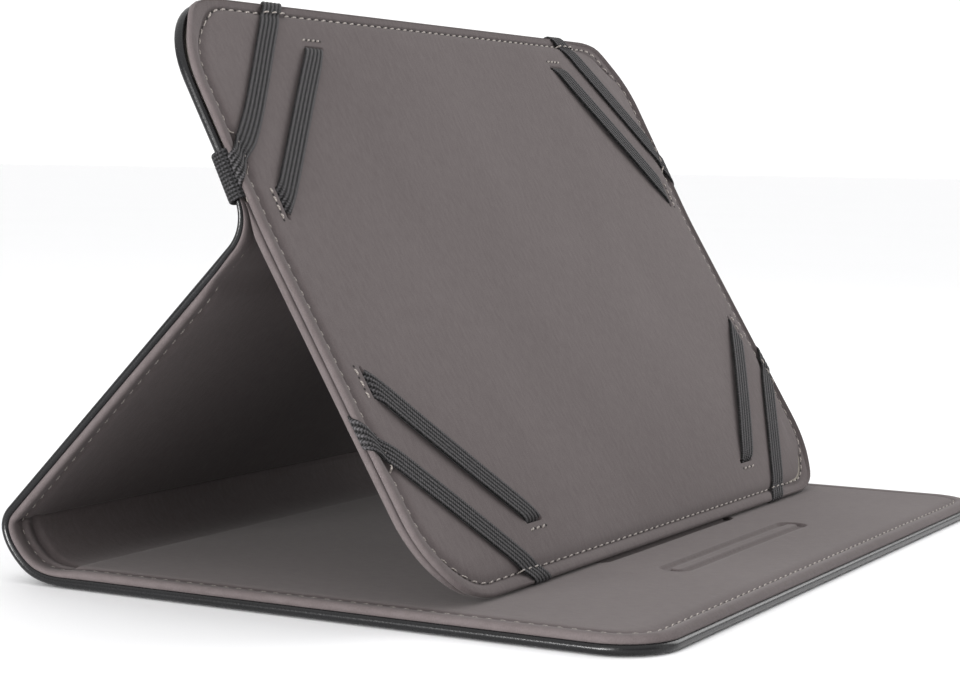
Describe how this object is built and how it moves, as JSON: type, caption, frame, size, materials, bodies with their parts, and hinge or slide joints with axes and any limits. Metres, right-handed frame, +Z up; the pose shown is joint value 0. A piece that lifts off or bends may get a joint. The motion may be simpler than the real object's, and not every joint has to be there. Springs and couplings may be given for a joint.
{
  "type": "tablet case",
  "caption": "Folio case for a small tablet: flat front cover, soft spine and a folding back that stands the elastic-strapped holder at an angle.",
  "frame": {"origin": "under the middle of the whole object, on the surface it stands on", "axes": "+X along the spine to the right as seen from the front, +Y from the front edge towards the spine, +Z up"},
  "size_m": [0.2222, 0.156, 0.1286],
  "materials": {
    "skin": "fine-grained glossy black faux leather",
    "board": "grey card board, hidden inside",
    "lining": "warm grey brushed microfibre",
    "foam": "soft foam strip, hidden inside",
    "thread": "light grey sewing thread",
    "elastic": "ribbed dark grey elastic"
  },
  "bodies": {
    "front_cover": {"front_skin": "skin", "front_board": "board", "front_lining": "lining", "front_seam": "thread"},
    "spine": {"spine_skin": "skin", "spine_pad": "foam", "spine_lining": "lining", "spine_seam": "thread"},
    "lower_back": {"back_skin": "skin", "back_board": "board", "back_lining": "lining", "back_seam": "thread"},
    "upper_back": {"top_skin": "skin", "top_board": "board", "top_lining": "lining", "top_seam": "thread", "top_strap_ends": "elastic", "top_tacks": "thread", "closure_band_ends": "elastic"},
    "holder_flap": {"flap_front_lining": "lining", "flap_board": "board", "flap_rear_lining": "lining", "flap_seam": "thread", "flap_strap_ends": "elastic", "flap_tacks": "thread"},
    "outer_strap_top_left_loop": {"outer_strap_top_left": "elastic"},
    "outer_strap_top_right_loop": {"outer_strap_top_right": "elastic"},
    "inner_strap_top_left_loop": {"inner_strap_top_left": "elastic"},
    "inner_strap_top_right_loop": {"inner_strap_top_right": "elastic"},
    "outer_strap_bottom_left_loop": {"outer_strap_bottom_left": "elastic"},
    "outer_strap_bottom_right_loop": {"outer_strap_bottom_right": "elastic"},
    "inner_strap_bottom_left_loop": {"inner_strap_bottom_left": "elastic"},
    "inner_strap_bottom_right_loop": {"inner_strap_bottom_right": "elastic"},
    "closure_loop": {"closure_band": "elastic"}
  },
  "joints": [
    {"name": "spine_open", "type": "hinge", "parent": "front_cover", "child": "spine", "pos_m": [0, 0.07095, 0.00299], "axis": [-1, 0, 0], "range_deg": [0, 67]},
    {"name": "back_unfold", "type": "hinge", "parent": "spine", "child": "lower_back", "pos_m": [0, 0.0779, 0.01385], "axis": [-1, 0, 0], "range_deg": [0, 67.5]},
    {"name": "fold_flatten", "type": "hinge", "parent": "lower_back", "child": "upper_back", "pos_m": [0, 0.01397, 0.07923], "axis": [1, 0, 0], "range_deg": [0, 72.4]},
    {"name": "flap_swing", "type": "hinge", "parent": "upper_back", "child": "holder_flap", "pos_m": [0, 0.00938, 0.07779], "axis": [-1, 0, 0], "range_deg": [0, 9]},
    {"name": "outer_strap_top_left_stretch", "type": "slide", "parent": "upper_back", "child": "outer_strap_top_left_loop", "axis": [0, -0.8838, 0.4679], "range_m": [0, 0.008], "stiffness_N_per_m": 60},
    {"name": "outer_strap_top_right_stretch", "type": "slide", "parent": "upper_back", "child": "outer_strap_top_right_loop", "axis": [0, -0.8838, 0.4679], "range_m": [0, 0.008], "stiffness_N_per_m": 60},
    {"name": "inner_strap_top_left_stretch", "type": "slide", "parent": "upper_back", "child": "inner_strap_top_left_loop", "axis": [0, -0.8838, 0.4679], "range_m": [0, 0.008], "stiffness_N_per_m": 60},
    {"name": "inner_strap_top_right_stretch", "type": "slide", "parent": "upper_back", "child": "inner_strap_top_right_loop", "axis": [0, -0.8838, 0.4679], "range_m": [0, 0.008], "stiffness_N_per_m": 60},
    {"name": "outer_strap_bottom_left_stretch", "type": "slide", "parent": "holder_flap", "child": "outer_strap_bottom_left_loop", "axis": [0, -0.8581, 0.5135], "range_m": [0, 0.008], "stiffness_N_per_m": 60},
    {"name": "outer_strap_bottom_right_stretch", "type": "slide", "parent": "holder_flap", "child": "outer_strap_bottom_right_loop", "axis": [0, -0.8581, 0.5135], "range_m": [0, 0.008], "stiffness_N_per_m": 60},
    {"name": "inner_strap_bottom_left_stretch", "type": "slide", "parent": "holder_flap", "child": "inner_strap_bottom_left_loop", "axis": [0, -0.8581, 0.5135], "range_m": [0, 0.008], "stiffness_N_per_m": 60},
    {"name": "inner_strap_bottom_right_stretch", "type": "slide", "parent": "holder_flap", "child": "inner_strap_bottom_right_loop", "axis": [0, -0.8581, 0.5135], "range_m": [0, 0.008], "stiffness_N_per_m": 60},
    {"name": "closure_stretch", "type": "slide", "parent": "upper_back", "child": "closure_loop", "axis": [0, 0.8838, -0.4679], "range_m": [0, 0.015], "stiffness_N_per_m": 40}
  ],
  "couplings": [
    {"joint": "fold_flatten", "follows": "back_unfold", "ratio": 1.0725},
    {"joint": "flap_swing", "follows": "back_unfold", "ratio": 0.1332}
  ]
}
